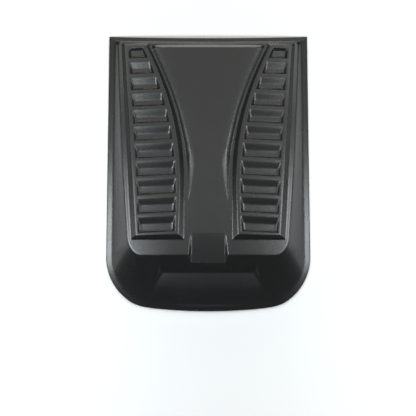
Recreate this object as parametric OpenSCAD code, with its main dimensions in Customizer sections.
// Stick-on bonnet scoop: one moulded shell with two raised louvre banks, a raised
// centre panel, a hollow front mouth and foam tape strips under its rim.
// X runs across the bonnet, +Y points to the windscreen, +Z is up.

/* [Outline] */
// Length from the front of the bowed lip to the two rear corners
body_len = 860; // [820:5:900]
// Width across the two rear corners
rear_w = 620; // [610:2:630]
// Width across the front shoulders
front_w = 640; // [632:2:660]
// Radius of the front corners in plan
corner_r = 165; // [150:1:175]
// Angle that each front corner turns through before it eases into the lip
corner_turn = 58; // [52:1:62]
// Width of the shallow middle stretch of the front lip
front_mid_w = 344; // [320:4:356]
// Forward bow of the front lip over its middle stretch
front_bow = 8.8; // [5:0.2:10]
// Hollow of the rear edge between its corners
rear_bow = 4.6; // [2:0.2:8]
// Rise of the middle over the sides, to follow the bonnet
crown = 12; // [6:1:20]

/* [Shell] */
// Wall thickness of the moulding
wall = 3; // [2.4:0.1:3.4]
// Width of the flat rim along the sides and the front
rim_w = 20; // [18:0.5:24]
// Width of the flat rim along the rear
rear_rim_w = 13; // [12:0.5:16]
// Height of the outer lip
lip_h = 3; // [2.5:0.25:4]
// Height of the rim where the skirt begins
rim_h = 7; // [6:0.25:8.5]
// Hollow of the skirt at its foot, as a share of its height
skirt_flare = 0.28; // [0.15:0.01:0.4]

/* [Plate] */
// Height of the plate above the rim's underside at the rear
plate_rear_h = 14; // [12.5:0.5:17]
// Height of the plate above the rim's underside at the front
plate_front_h = 62; // [52:1:70]
// Upward bow of the plate between its ends
plate_bow = 3; // [0:0.5:6]
// Width of the plate across its rear corners
plate_rear_w = 566; // [558:1:570]
// Width of the plate across its front shoulders
plate_front_w = 506; // [498:1:512]
// Outward bow of the plate's long sides
plate_side_bow = 4.5; // [0:0.5:7]
// Distance from the front lip to the plate's front edge
plate_front_gap = 178; // [170:1:190]
// Size across X of the plate's front corners
plate_corner_x = 45; // [35:1:55]
// Size along Y of the plate's front corners
plate_corner_y = 70; // [50:1:80]
// Size of the plate's rear corners
plate_rear_corner = 12; // [6:1:16]
// Width of the rounded edge round the plate
plate_edge = 4; // [2:0.5:6]
// Run of the short step from the rear rim up to the plate
rear_step = 5; // [4:0.5:7]

/* [Louvre pads] */
// Rise of the pads above the plate at the rear
pad_rear_rise = 6; // [5:0.5:8]
// Rise of the pads above the plate at the front
pad_front_rise = 13; // [10:0.5:14]
// Distance from the body's rear corners to the pads' rear top edge
pad_rear_gap = 29; // [28:0.5:36]
// Distance from the plate's front edge to the pads' front top edge
pad_front_gap = 61; // [54:1:70]
// Width across both pads at their rear top edge
pad_rear_w = 525; // [515:1:530]
// Width across both pads at their front top edge
pad_front_w = 449; // [440:1:455]
// Run of the pads' outer and rear walls for each mm of rise
pad_slope = 1.17; // [0.8:0.01:1.3]
// Run of the pads' front walls for each mm of rise
pad_front_slope = 1; // [0.8:0.05:1.2]
// Angle by which the pads' front edges sweep back towards the middle
pad_front_sweep = 1.6; // [0:0.1:3]
// Run of the pads' inner walls for each mm of rise at the front
pad_inner_slope = 1.4; // [1:0.05:1.4]
// Run of the pads' inner walls for each mm of rise at the rear
pad_inner_slope_rear = 1.2; // [0.95:0.05:1.3]
// Run of the pads' inner walls for each mm of rise beside the neck
pad_inner_slope_neck = 0.8; // [0.75:0.05:0.95]
// Width between the pads at the rear
waist_rear = 386; // [376:1:392]
// Pull of the waist line near the rear
waist_pull_rear = 242; // [234:1:250]
// Pull of the waist line at the middle
waist_pull_mid = 144; // [136:1:152]
// Pull of the waist line near the front
waist_pull_front = 176; // [168:1:184]
// Width between the pads at the front
waist_front = 187; // [180:1:196]

/* [Louvres] */
// Number of louvre pockets in each pad
louvre_count = 11; // [8:1:11]
// Pitch of the rear two pockets
louvre_pitch = 48; // [42:0.5:48]
// Growth of the pitch from each pocket to the next
louvre_growth = 1.15; // [0:0.05:1.2]
// Width of the bars between the pockets
louvre_bar = 11.5; // [10:0.5:14]
// Distance from the pads' rear top edge to the first pocket's place in the row
louvre_start = 4.5; // [4:0.5:8]
// Setback of the shorter first pocket within its place
louvre_first_gap = 3.5; // [0:0.5:6]
// Length in plan of the first pocket's rear slope
louvre_first_ramp = 10; // [8:0.5:14]
// Angle by which the pockets sweep back towards the middle
louvre_sweep = 2.6; // [0:0.1:4]
// Depth of the pockets below the pads' top face
louvre_depth = 10; // [7:0.5:10.5]
// Length in plan of the other pockets' long rear slope
louvre_ramp = 22; // [16:0.5:24]
// Length in plan of each pocket's short front wall
louvre_lip = 4; // [2:0.5:6]
// Draft in plan of each pocket's two end walls
louvre_end = 8; // [5:0.5:10]
// Margin between the rear pockets and the pads' outer edge
louvre_outer_margin = 13; // [11:0.5:16]
// Margin between the front pockets and the pads' outer edge
louvre_outer_front = 6.5; // [6:0.5:12]
// Margin between the front pockets and the pads' inner edge
louvre_inner_margin = 10.5; // [9:0.5:12]
// Margin between the rear pockets and the pads' inner edge
louvre_inner_rear = 14; // [11:0.5:17]

/* [Centre panel] */
// Rise of the centre panel above the plate at the rear, which fades out at the front
centre_rise = 7; // [5:0.5:8]
// Depth below the centre panel of the valley at the foot of each pad, at the rear
valley_depth = 7; // [5:0.5:8]
// Depth of that valley beside the panel's narrow neck
valley_neck_depth = 9.5; // [8:0.5:10.5]
// Width of the slope from the centre panel down into each valley
valley_w = 29; // [26:1:34]
// Width of that slope at the panel's narrow neck
valley_neck_w = 35; // [31:1:38]
// Width of the flat ledge between that slope and the foot of the pad's wall, at the rear
valley_ledge = 6; // [4:0.5:8]
// Width of that ledge beside the narrow neck
valley_neck_ledge = 11; // [9:0.5:13]
// Width of the face under the panel's flare that ends each valley
valley_end_w = 15; // [12:0.5:18]
// Fall of that face for each mm of its width
valley_end_fall = 0.3; // [0.24:0.01:0.36]
// Distance from the body's rear corners to the panel's rear top edge
centre_rear_gap = 36; // [34:1:42]
// Run of the panel's rear wall
centre_rear_run = 11; // [8:0.5:12]
// Distance from the body's middle to the narrow neck of the panel
neck_y = 49; // [40:1:64]
// Distance from the body's middle to the front end of the valleys
fade_y = -72; // [-90:1:-55]

/* [Mouth] */
// Width of the mouth along the plate's front edge
mouth_top_w = 300; // [280:2:320]
// Width of the mouth's floor at the back
mouth_floor_w = 272; // [256:2:276]
// Width of the mouth at its front corners
mouth_front_w = 376; // [364:2:384]
// Length in plan of the mouth's sloping back wall
mouth_back_run = 55; // [45:1:62]
// Length of the mouth's floor
mouth_floor_len = 80; // [70:1:86]
// Height of the mouth's floor at the back
mouth_floor_h = 26; // [24:0.5:30]

/* [Tongue] */
// Width of the tongue that runs down into the mouth
tongue_w = 107; // [96:1:116]
// Distance from the plate's front edge back to the tongue's crease
tongue_back = 66; // [56:1:70]
// Distance from the plate's front edge forward to the tongue's tip
tongue_reach = 23; // [16:1:28]
// Drop of the tongue below the plate's front edge
tongue_drop = 10; // [7:0.5:12]
// Step from the tongue's tip down to the mouth's back wall
tongue_step = 4; // [3:0.5:6]
// Widening of the plate's notch on each side at the front edge
notch_flare = 8; // [5:0.5:11]

/* [Foam tape] */
// Width of the tape strips
tape_w = 10; // [8:0.5:11]
// Thickness of the tape strips
tape_t = 1.2; // [0.8:0.1:2]
// Bond line between the tape and the rim
tape_bond = 0.12; // [0.12:0.01:0.2]
// Gap between the ends of neighbouring strips
tape_end_gap = 12; // [8:1:30]

/* [Hidden] */

cols = 14;
ease_rows = 3;
corner_rows = 9;
side_rows = 17;
rows = corner_rows + side_rows;
skirt_steps = [0, 0.12, 0.3, 0.55, 0.8, 1];
below = 12;
above = 40;

rear_y = body_len / 2;
front_y = -body_len / 2;
corner_x = front_w / 2 - corner_r;
shoulder_y = front_y + corner_r + 3;
tape_inset = (rim_w - tape_w) / 2;

plate_front_y = front_y + plate_front_gap;
plate_shoulder_y = plate_front_y + plate_corner_y;
plate_rear_y = rear_y - rear_rim_w - rear_step;

pad_rear_y = rear_y - pad_rear_gap;
pad_front_y = plate_front_y + pad_front_gap;
centre_rear_y = rear_y - centre_rear_gap;

mouth_floor_y = plate_front_y - mouth_back_run;
mouth_front_y = mouth_floor_y - mouth_floor_len;

function lerp(a, b, u) = a + (b - a) * u;
function share(y, from, to) = min(1, max(0, (y - from) / (to - from)));

// Shift of an edge that keeps the wall even where a slope of run : rise meets a flat.
function mitre(run, rise) = wall_shift(atan2(rise, run));
function wall_shift(angle) = tan(angle / 2);

// Height that the bonnet's curve adds at a point; nothing at the outer edge of the tape.
function side_x(y) = lerp(rear_w, front_w, share(y, rear_y, shoulder_y)) / 2;
function bonnet(x, y) = crown * (1 - pow(x / (side_x(y) - tape_inset), 2));
function place(p) = [p.x, p.y, p.z + tape_t + tape_bond + bonnet(p.x, p.y)];

// Closed loops that run with the outline: front, right side, rear, left side.
function mirrored(p) = [-p.x, p.y];
function loop(front, side, rear) = concat(
    [for (i = [0:cols - 1]) front[i]],
    [for (j = [0:rows - 1]) side[j]],
    [for (i = [cols:-1:1]) rear[i]],
    [for (j = [rows:-1:1]) mirrored(side[j])]);

function rim_front(inset) = [for (i = [0:cols]) let (u = 2 * i / cols - 1)
    [front_mid_w / 2 * u, front_y + inset + front_bow * u * u]];

// Easing curve from the front stretch (v = 0) to the end of the corner's arc (v = 1), with
// its handle where the two tangents cross.
function arc_point(inset, a) =
    [corner_x + (corner_r - inset) * cos(a), shoulder_y - (corner_r - inset) * sin(a)];
function ease_point(inset, v) = let (
    p = rim_front(inset)[cols],
    slope = 4 * front_bow / front_mid_w,
    q = arc_point(inset, corner_turn),
    fall = tan(90 - corner_turn),
    x = (q.y - p.y + slope * p.x - fall * q.x) / (slope - fall),
    handle = [x, p.y + slope * (x - p.x)])
    p * (1 - v) * (1 - v) + handle * 2 * v * (1 - v) + q * v * v;
function rim_side(inset, rear_inset) = [for (j = [0:rows])
    j < ease_rows ? ease_point(inset, j / ease_rows)
    : j < corner_rows ? arc_point(inset, corner_turn * (corner_rows - j) / (corner_rows - ease_rows))
    : let (y = side_row_y(j, shoulder_y, rear_y - rear_inset, plate_rear_corner + 3))
        [side_x(y) - inset, y]];

// Places of the side rows: even up to the rear corner, then three close ones.
function side_row_y(j, from, to, band) = let (last = rows - 3)
    j <= last ? lerp(from, to - band, (j - corner_rows) / (last - corner_rows))
    : lerp(to - band, to, (j - last) / 3);
function rim_rear(inset, rear_inset) = [for (i = [0:cols])
    let (u = 2 * i / cols - 1, x = (side_x(rear_y - rear_inset) - inset) * u)
    [x, rear_y - rear_inset - rear_bow * (1 - u * u)]];
function rim_loop(inset, rear_inset) =
    loop(rim_front(inset), rim_side(inset, rear_inset), rim_rear(inset, rear_inset));

// Plate outline, drawn in by an inset.
function plate_side_x(y) = let (u = share(y, plate_rear_y, plate_shoulder_y))
    lerp(plate_rear_w, plate_front_w, u) / 2 + plate_side_bow * 4 * u * (1 - u);
function plate_end_x() = plate_side_x(plate_shoulder_y) - plate_corner_x;
function plate_side(inset) = [for (j = [0:rows])
    j < corner_rows
    ? let (a = 90 * (1 - j / corner_rows))
        [plate_end_x() + (plate_corner_x - inset) * cos(a),
         plate_shoulder_y - (plate_corner_y - inset) * sin(a)]
    : j > rows - 3
    ? let (a = 30 * (j - rows + 3), c = plate_rear_corner)
        [plate_side_x(plate_rear_y) - c + (c - inset) * cos(a),
         plate_rear_y - c + (c - inset) * sin(a)]
    : let (y = side_row_y(j, plate_shoulder_y, plate_rear_y, plate_rear_corner))
        [plate_side_x(y) - inset, y]];
function plate_front(inset) = [for (i = [0:cols])
    [plate_end_x() * (2 * i / cols - 1), plate_front_y + inset]];
function plate_rear(inset) = [for (i = [0:cols]) let (u = 2 * i / cols - 1)
    [(plate_side_x(plate_rear_y) - plate_rear_corner) * u,
     plate_rear_y - inset - rear_bow * (1 - u * u)]];
function plate_loop(inset) = loop(plate_front(inset), plate_side(inset), plate_rear(inset));

function plate_h(y) = let (u = share(y, plate_rear_y, plate_front_y))
    lerp(plate_rear_h, plate_front_h, u) + plate_bow * 4 * u * (1 - u);

// Skirt profile from the rim (0) to the plate (1).
function skirt_rise(s) = s * (1 - skirt_flare * (1 - s));

// Level direction into a loop, square to it at one of its points.
function inward(points, m) = let (
    n = len(points),
    along = points[(m + 1) % n] - points[(m + n - 1) % n])
    [-along.y, along.x] / norm(along);

// Loops of the body, drawn in by the wall t, each point as [x, y, z].
function flat_loop(points, h) = [for (p = points) [p.x, p.y, h]];
function skirt_loops(t) = let (foot = rim_loop(rim_w, rear_rim_w), top = plate_loop(0))
    [for (s = skirt_steps) [for (m = [0:len(foot) - 1]) let (
        toward = inward(foot, m),
        run = (top[m] - foot[m]) * toward,
        rise = plate_h(top[m].y) - rim_h,
        p = lerp(foot[m], top[m], s) + toward * t * mitre(run, rise * (1 + skirt_flare)),
        edge = s == 1 ? plate_edge * 0.3 : 0)
        [p.x, p.y, lerp(rim_h, plate_h(top[m].y), skirt_rise(s)) - edge - t]]];
function crest_loop(t) = [for (p = plate_loop(plate_edge + t)) [p.x, p.y, plate_h(p.y) - t]];
function body_loops(t) = let (skirt = skirt_loops(t)) t == 0
    ? concat([flat_loop(rim_loop(0, 0), 0), flat_loop(rim_loop(0, 0), lip_h * 0.6),
        flat_loop(rim_loop(lip_h * 0.4, lip_h * 0.4), lip_h)], skirt, [crest_loop(t)])
    : concat([flat_loop(skirt[0], -below)], skirt, [crest_loop(t)]);

// Grid rows inside the first and last loop, which close the solid.
function cap_row(points, j, h) = [for (i = [0:cols])
    let (left = points[(len(points) - j) % len(points)], right = points[cols + j],
         u = i / cols,
         front = pow(1 - min(1, j / corner_rows), 2) * middle_bow(points, 0),
         rear = share(j, rows - 9, rows - 3) * middle_bow(points, cols + rows),
         y = left.y + (front + rear) * 4 * u * (1 - u))
    [lerp(left.x, right.x, u), y, is_undef(h) ? plate_h(y) : h]];
function middle_bow(points, first) = points[first + round(cols / 2)].y - points[first].y;

// Solid of a stack of equal loops with a grid over each end.
module lofted(loops, low, high) {
    count = len(loops[0]);
    levels = len(loops);
    first = levels * count;
    inner = (rows - 1) * (cols - 1);
    grid = [for (end = [low, high]) for (j = [1:rows - 1]) for (i = [1:cols - 1]) end[j][i]];
    function at(level, m) = level * count + (m + count) % count;
    function node_at(end, i, j) = let (level = end * (levels - 1))
        j == 0 ? at(level, i)
        : i == cols ? at(level, cols + j)
        : j == rows ? at(level, cols + rows + (cols - i))
        : i == 0 ? at(level, count - j)
        : first + end * inner + (j - 1) * (cols - 1) + i - 1;
    sides = [for (k = [0:levels - 2]) for (m = [0:count - 1]) for (f = [
        [at(k, m), at(k + 1, m), at(k + 1, m + 1)],
        [at(k, m), at(k + 1, m + 1), at(k, m + 1)]]) f];
    ends = [for (end = [0, 1]) for (j = [0:rows - 1]) for (i = [0:cols - 1]) let (
        a = node_at(end, i, j), b = node_at(end, i + 1, j),
        c = node_at(end, i + 1, j + 1), d = node_at(end, i, j + 1))
        for (f = end == 0 ? [[a, b, c], [a, c, d]] : [[a, c, b], [a, d, c]]) f];
    polyhedron([for (p = concat([for (l = loops) for (p = l) p], grid)) place(p)],
        concat(sides, ends), convexity = 10);
}

module body(t) {
    loops = body_loops(t);
    bottom = loops[0];
    top = loops[len(loops) - 1];
    low = [for (j = [0:rows]) cap_row(bottom, j, bottom[0].z)];
    high = [for (j = [0:rows]) [for (p = cap_row(top, j)) [p.x, p.y, p.z - t]]];
    lofted(loops, low, high);
}

// Solid over a strip of sections; each section is a list of equally many [x, y, z] points
// along its top, and the solid is closed at a level below it.
module strip(sections, floor_h) {
    n = len(sections[0]);
    count = len(sections);
    top = [for (s = sections) for (p = s) place(p)];
    bottom = [for (s = sections) for (p = s) place([p.x, p.y, floor_h])];
    half = n * count;
    function top_at(r, c) = r * n + n - 1 - c;
    faces = concat(
        [for (r = [0:count - 2]) for (c = [0:n - 2]) for (f = [
            [top_at(r, c), top_at(r + 1, c), top_at(r + 1, c + 1)],
            [top_at(r, c), top_at(r + 1, c + 1), top_at(r, c + 1)]]) f],
        [for (r = [0:count - 2]) for (c = [0:n - 2]) for (f = [
            [top_at(r, c), top_at(r + 1, c + 1), top_at(r + 1, c)],
            [top_at(r, c), top_at(r, c + 1), top_at(r + 1, c + 1)]]) [for (v = f) v + half]],
        [for (r = [0:count - 2]) for (f = [
            [top_at(r, 0), half + top_at(r, 0), half + top_at(r + 1, 0)],
            [top_at(r, 0), half + top_at(r + 1, 0), top_at(r + 1, 0)],
            [top_at(r, n - 1), half + top_at(r + 1, n - 1), half + top_at(r, n - 1)],
            [top_at(r, n - 1), top_at(r + 1, n - 1), half + top_at(r + 1, n - 1)]]) f],
        [for (c = [0:n - 2]) for (f = [
            [top_at(0, c), top_at(0, c + 1), half + top_at(0, c + 1)],
            [top_at(0, c), half + top_at(0, c + 1), half + top_at(0, c)],
            [top_at(count - 1, c), half + top_at(count - 1, c + 1), top_at(count - 1, c + 1)],
            [top_at(count - 1, c), half + top_at(count - 1, c), half + top_at(count - 1, c + 1)]]) f]);
    polyhedron(concat(top, bottom), faces, convexity = 10);
}

// Edges of the louvre pads.
function pad_share(y) = share(y, pad_rear_y, pad_front_y);
function pad_rise(y) = lerp(pad_rear_rise, pad_front_rise, pad_share(y));
function pad_outer_x(y) = lerp(pad_rear_w, pad_front_w, pad_share(y)) / 2;
function pad_inner_x(y) = let (u = pad_share(y), v = 1 - u)
    (waist_rear * pow(v, 4) + 4 * waist_pull_rear * u * pow(v, 3)
    + 6 * waist_pull_mid * u * u * v * v + 4 * waist_pull_front * pow(u, 3) * v
    + waist_front * pow(u, 4)) / 2;

// Centre panel and the valleys beside it, as heights over the plate.
function centre_up(y) = centre_rise * share(y, fade_y, centre_rear_y);
function valley_fall(y) = share(y, fade_y - 18, neck_y + 10)
    * lerp(valley_neck_depth, valley_depth, share(y, neck_y, centre_rear_y));
function pad_inner_drop(y) = pad_rise(y) - centre_up(y) + valley_fall(y);
function inner_slope(y) = pad_inner_slope_neck
    + (pad_inner_slope_rear - pad_inner_slope_neck) * share(y, neck_y, pad_rear_y)
    + (pad_inner_slope - pad_inner_slope_neck) * share(y, neck_y, pad_front_y);
function valley_foot_x(y) = pad_inner_x(y) - pad_inner_drop(y) * inner_slope(y);
function slope_w(y) = lerp(valley_neck_w, valley_w, share(y, neck_y, neck_y + valley_settle));
function crease_x(y) = valley_foot_x(y) - slope_w(y);
function ledge_w(y) = lerp(valley_neck_ledge, valley_ledge, share(y, neck_y - 30, neck_y + 90));
function neck_share(y) = 1 - share(y, fade_y, neck_y);
function panel_edge_x(y) = y < neck_y
    ? lerp(crease_x(neck_y), valley_foot_x(fade_y) - fade_inset, pow(neck_share(y), 1.45))
    : crease_x(y);

// The panel's flare ends this far inside the foot of the pads.
fade_inset = 14;
// Length over which the slope beside the panel widens behind the neck.
valley_settle = 230;
pad_sink = 3;
pad_rows = 22;

// Section of a pad at y; an end section, run_y further out, lies at the level of the feet.
function pad_section(y, run_y, t) = let (
    outer = pad_outer_x(y) - t * mitre(pad_slope, 1),
    slope_in = inner_slope(y),
    inner = pad_inner_x(y) + t * mitre(slope_in, 1),
    top = plate_h(y) + pad_rise(y) - t,
    drop = pad_rise(y) + pad_sink,
    drop_in = pad_inner_drop(y) + pad_sink,
    flat = run_y != 0,
    skew = run_y < 0 ? 0
        : tan(pad_front_sweep) * (1 - share(y, pad_front_y, pad_front_y + louvre_pitch)))
    [for (p = [
        [outer + drop * pad_slope * (flat ? 0.6 : 1), top - drop],
        [outer + (flat ? drop * pad_slope * 0.5 : 0), flat ? top - drop : top],
        [lerp(outer, inner, 0.5), flat ? top - drop : top],
        [inner - (flat ? drop * slope_in * 0.5 : 0), flat ? top - drop : top],
        [inner - drop_in * slope_in * (flat ? 0.9 : 1), top - drop_in]])
        [p.x, y + run_y + (outer - min(outer, p.x)) * skew, p.y]];
module pad(t) {
    y_front = pad_front_y + t * mitre(pad_front_slope, 1);
    y_rear = pad_rear_y - t * mitre(pad_slope, 1);
    strip(concat(
        [pad_section(y_front, -(pad_front_rise + pad_sink) * pad_front_slope, t)],
        [for (k = [0:pad_rows]) pad_section(lerp(y_front, y_rear, k / pad_rows), 0, t)],
        [pad_section(y_rear, (pad_rear_rise + pad_sink) * pad_slope, t)]), rim_h - wall - 1);
}

centre_rows = 16;
module centre(t) {
    y_rear = centre_rear_y - t * mitre(centre_rear_run, centre_rise);
    reach = 3;
    function section(y, run_y, up) = let (h = plate_h(y + run_y) + up - t, x = valley_foot_x(y) + reach)
        [for (s = [1, 0.5, 0, -0.5, -1]) [x * s, y + run_y, h]];
    strip(concat(
        [section(fade_y - 20, 0, -1), section(fade_y, 0, 0)],
        [for (k = [1:centre_rows]) let (y = lerp(fade_y, y_rear, k / centre_rows))
            section(y, 0, centre_up(y))],
        [section(y_rear, centre_rear_run, 0), section(y_rear, centre_rear_run + 1, -1)]),
        rim_h - wall - 1);
}

// Cutter for the valley on the right: open above, its floor falls to the pad's foot, and the
// face under the neck's flare ends it.
valley_rows = 18;
function valley_section(y, t) = let (
    edge = panel_edge_x(y),
    ledge = ledge_w(y),
    foot = valley_foot_x(y) - ledge,
    full = valley_fall(y),
    turn = y < neck_y ? min(foot - 0.5, edge + valley_end_w) : lerp(edge, foot, 0.45),
    fall = y < neck_y ? min(0.9 * full, valley_end_fall * (turn - edge)) : 0.36 * full,
    level = plate_h(y) + centre_up(y) - t)
    [for (p = [[foot + ledge + 5, full], [foot, full], [turn, fall], [edge, 0],
        [edge - 4, -1]]) [p.x, y, level - p.y]];
module valley(t) {
    ends = [fade_y - 4, centre_rear_y + centre_rear_run];
    ys = concat([for (k = [0:7]) lerp(ends[0], neck_y, k / 8)],
        [for (k = [0:valley_rows]) lerp(neck_y, ends[1], k / valley_rows)]);
    strip([for (k = [len(ys) - 1:-1:0]) valley_section(ys[k], t)], plate_front_h + above);
}

// From these lines the margins beside the pockets change towards the front and the rear.
outer_turn_y = 20;
inner_turn_y = -110;

// Louvre pockets: k counts from the rear, t is the wall left round them.
function pocket_row_y(k) = pad_rear_y - louvre_start
    - louvre_pitch * k - louvre_growth * k * (k - 1) / 2;
function pocket_top_y(k) = pocket_row_y(k) - (k == 0 ? louvre_first_gap : 0);
function pocket_low_y(k) = pocket_row_y(k) - louvre_pitch - louvre_growth * k + louvre_bar;
function pocket_ramp(k) = k == 0 ? louvre_first_ramp : louvre_ramp;
function pocket_outer_x(y) = pad_outer_x(y)
    - lerp(louvre_outer_margin, louvre_outer_front, share(y, outer_turn_y, outer_turn_y - 190));
function pocket_inner_x(y) = pad_inner_x(y)
    + lerp(louvre_inner_margin, louvre_inner_rear, share(y, inner_turn_y, inner_turn_y + 170));
function pocket_corner(x, y, outer_x, up, ref_y) =
    place([x, y + (outer_x - x) * tan(louvre_sweep), plate_h(ref_y) + pad_rise(ref_y) + up]);
module pocket(k, t) {
    ramp = pocket_ramp(k);
    y0 = pocket_top_y(k) + t * mitre(ramp, louvre_depth);
    y1 = pocket_low_y(k) - t * mitre(louvre_lip, louvre_depth);
    side = t * mitre(louvre_end, louvre_depth);
    x0 = pocket_outer_x(y0) + side;
    x1 = pocket_outer_x(y1) + side;
    x2 = pocket_inner_x(y1) - side;
    x3 = pocket_inner_x(y0) - side;
    lift = 1 + louvre_depth / 10;
    grow = lift / louvre_depth;
    yf0 = y0 - ramp;
    yf1 = y1 + louvre_lip;
    hull() polyhedron([
        pocket_corner(x0 + louvre_end * grow, y0 + ramp * grow, x0, lift - t, y0),
        pocket_corner(x1 + louvre_end * grow, y1 - louvre_lip * grow, x0, lift - t, y1),
        pocket_corner(x2 - louvre_end * grow, y1 - louvre_lip * grow, x0, lift - t, y1),
        pocket_corner(x3 - louvre_end * grow, y0 + ramp * grow, x0, lift - t, y0),
        pocket_corner(x0 - louvre_end, yf0, x0, -louvre_depth - t, yf0),
        pocket_corner(x1 - louvre_end, yf1, x0, -louvre_depth - t, yf1),
        pocket_corner(x2 + louvre_end, yf1, x0, -louvre_depth - t, yf1),
        pocket_corner(x3 + louvre_end, yf0, x0, -louvre_depth - t, yf0)],
        [[0, 1, 2, 3], [7, 6, 5, 4], [0, 4, 5, 1], [1, 5, 6, 2], [2, 6, 7, 3], [3, 7, 4, 0]]);
}

// Mouth: everything in front of its back wall and above its floor.
function mouth_front_h() = let (s = (mouth_front_y - front_y - rim_w) / (plate_front_gap - rim_w))
    lerp(rim_h, plate_front_h, skirt_rise(s));
module mouth(t) {
    back = t * mitre(mouth_back_run, plate_front_h - mouth_floor_h);
    side = t * 0.8;
    top_x = mouth_top_w / 2 + side;
    floor_x = mouth_floor_w / 2 + side;
    front_x = mouth_front_w / 2 + side;
    y0 = plate_front_y + back;
    y1 = mouth_floor_y + back;
    // The cutter runs on past the front corners, by half the length of the floor.
    run_on = 1.5;
    floor_back = [floor_x, y1, mouth_floor_h - t];
    floor_front = [front_x, mouth_front_y + back, mouth_front_h() - t];
    front = lerp(floor_back, floor_front, run_on);
    hull() for (s = [-1, 1]) for (p = [
        [top_x, y0, plate_front_h - t], [top_x, y0, plate_front_h + above],
        floor_back, front, [front.x, front.y, front.z + above]])
        translate(place([s * p.x, p.y, p.z])) cube(0.01, center = true);
}

// Tongue: a ramp sunk into the plate that ends in a step above the mouth's back wall.
function back_wall_h(y) =
    lerp(plate_front_h, mouth_floor_h, (plate_front_y - y) / mouth_back_run);
tongue_back_y = plate_front_y + tongue_back;
tongue_tip_y = plate_front_y - tongue_reach;
tongue_tip_h = back_wall_h(tongue_tip_y) + tongue_step;
tongue_edge_h = plate_front_h - tongue_drop;

module tongue(t) {
    x = tongue_w / 2 - t * 0.8;
    strip([for (p = [[tongue_tip_y + t * 0.8 - 1, tongue_tip_h - tongue_step - 2],
                     [tongue_tip_y + t * 0.8, tongue_tip_h],
                     [plate_front_y, tongue_edge_h],
                     [tongue_back_y, plate_h(tongue_back_y) - 0.5]])
        [for (s = [1, 0.5, 0, -0.5, -1]) [x * s, p.x, p.y - t]]], mouth_floor_h - wall - 2);
}

module notch(t) {
    x_back = tongue_w / 2 + 1 + t * 0.8;
    x_front = x_back + notch_flare;
    lines = [[tongue_back_y, plate_h(tongue_back_y), x_back], [plate_front_y, tongue_edge_h, x_front],
        [tongue_tip_y - 4, tongue_tip_h - 1, x_front + 1]];
    for (k = [0, 1]) hull() for (q = [k, k + 1]) for (s = [-1, 1]) let (l = lines[q]) {
        translate(place([s * (l[2] - 1), l[0], l[1] - t])) cube(0.01);
        translate(place([s * (l[2] + 2), l[0], l[1] - t + above])) cube(0.01);
    }
}

// The whole moulding, drawn in by t.
module form(t) {
    difference() {
        union() {
            difference() {
                union() {
                    difference() {
                        union() {
                            body(t);
                            centre(t);
                        }
                        for (s = [0, 1]) mirror([s, 0, 0]) valley(t);
                    }
                    for (s = [0, 1]) mirror([s, 0, 0]) pad(t);
                }
                mouth(t);
            }
            tongue(t);
        }
        notch(t);
        for (s = [0, 1]) mirror([s, 0, 0]) for (k = [0:louvre_count - 1]) pocket(k, t);
    }
}

module panel() {
    color("#2b2b2b") difference() {
        form(0);
        form(wall);
    }
}

// Foam tape: a strip along the rim between two places of its outline.
module tape(path_outer, path_inner) {
    n = len(path_outer);
    pts = [for (h = [-tape_bond, -tape_bond - tape_t]) for (k = [0:n - 1])
        for (p = [path_outer[k], path_inner[k]]) place([p.x, p.y, h])];
    function v(low, k, side) = low * 2 * n + 2 * k + side;
    faces = concat(
        [for (k = [0:n - 2]) for (f = [
            [v(0, k, 0), v(0, k + 1, 0), v(0, k + 1, 1)], [v(0, k, 0), v(0, k + 1, 1), v(0, k, 1)],
            [v(1, k, 0), v(1, k + 1, 1), v(1, k + 1, 0)], [v(1, k, 0), v(1, k, 1), v(1, k + 1, 1)],
            [v(0, k, 0), v(1, k, 0), v(1, k + 1, 0)], [v(0, k, 0), v(1, k + 1, 0), v(0, k + 1, 0)],
            [v(0, k, 1), v(1, k + 1, 1), v(1, k, 1)], [v(0, k, 1), v(0, k + 1, 1), v(1, k + 1, 1)]]) f],
        [for (f = [[v(0, 0, 0), v(0, 0, 1), v(1, 0, 1)], [v(0, 0, 0), v(1, 0, 1), v(1, 0, 0)],
            [v(0, n - 1, 0), v(1, n - 1, 1), v(0, n - 1, 1)],
            [v(0, n - 1, 0), v(1, n - 1, 0), v(1, n - 1, 1)]]) f]);
    color("#8f2a26") polyhedron(pts, faces, convexity = 6);
}

rear_tape_inset = (rear_rim_w - tape_w) / 2;
function tape_side(inset) = let (y_end = rear_y - rear_rim_w - tape_end_gap)
    [for (j = [rows:-1:1]) let (u = (j - corner_rows) / side_rows)
        j <= corner_rows ? rim_side(inset, 0)[j]
        : let (y = lerp(shoulder_y, y_end, u)) [side_x(y) - inset, y]];
module tape_left() {
    mirror([1, 0, 0]) tape(tape_side(tape_inset), tape_side(tape_inset + tape_w));
}
module tape_right() {
    tape(tape_side(tape_inset), tape_side(tape_inset + tape_w));
}
module tape_front() {
    tape([for (i = [cols:-1:0]) rim_front(tape_inset)[i]],
        [for (i = [cols:-1:0]) rim_front(tape_inset + tape_w)[i]]);
}
module tape_rear() {
    tape(rim_rear(tape_inset, rear_tape_inset), rim_rear(tape_inset, rear_tape_inset + tape_w));
}

panel();
tape_left();
tape_right();
tape_front();
tape_rear();
